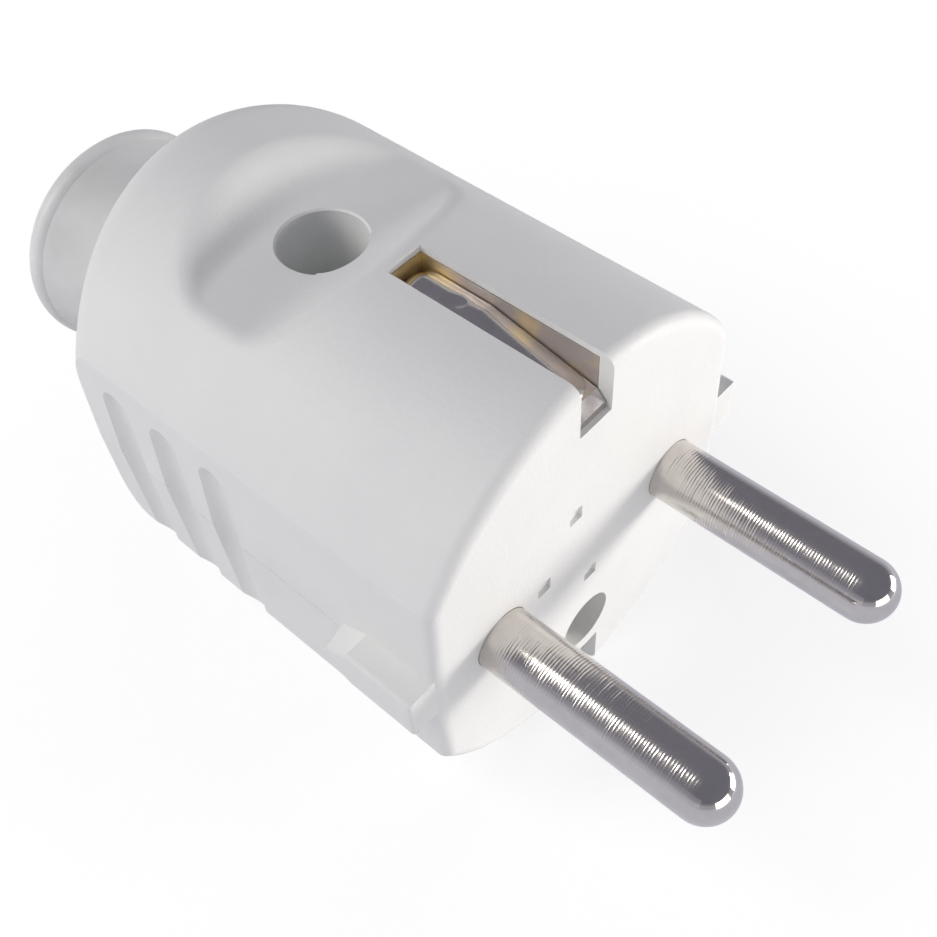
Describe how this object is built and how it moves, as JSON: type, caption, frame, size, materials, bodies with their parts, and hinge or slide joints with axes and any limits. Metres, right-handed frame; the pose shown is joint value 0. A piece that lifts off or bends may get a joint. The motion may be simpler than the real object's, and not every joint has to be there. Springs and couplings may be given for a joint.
{
  "type": "type f plug",
  "caption": "Rewirable earthed mains plug: round pins, earth contact strips in slots, thumb recesses with a cover screw, ribbed grips and a bell-mouthed cord guard.",
  "frame": {"origin": "centre of the engagement face, midway between the pins", "axes": "+X runs out of the face along the pins, +Y runs along the line of the pins, +Z points at the upper earth contact"},
  "size_m": [0.0727, 0.0364, 0.0368],
  "materials": {
    "shell": "fine moulded grain",
    "guard": "smooth satin",
    "pin": "nickel plate over turned brass",
    "contact": "bright nickel plate",
    "brass": "bare rolled brass",
    "screw": "zinc plate"
  },
  "bodies": {
    "root": {"upper_shell": "shell", "lower_shell": "shell", "cord_guard": "guard", "line_pin": "pin", "neutral_pin": "pin", "terminal_screws": "screw", "earth_bridge": "brass", "upper_earth_contact": "contact", "lower_earth_contact": "contact", "earth_contact_rivet": "brass", "earth_pin_socket": "brass", "earth_screw": "screw", "earth_clamp_washer": "brass", "cover_screw": "screw", "cover_nut": "screw", "cord_clamp": "shell", "cord_clamp_screws": "screw"}
  },
  "joints": []
}
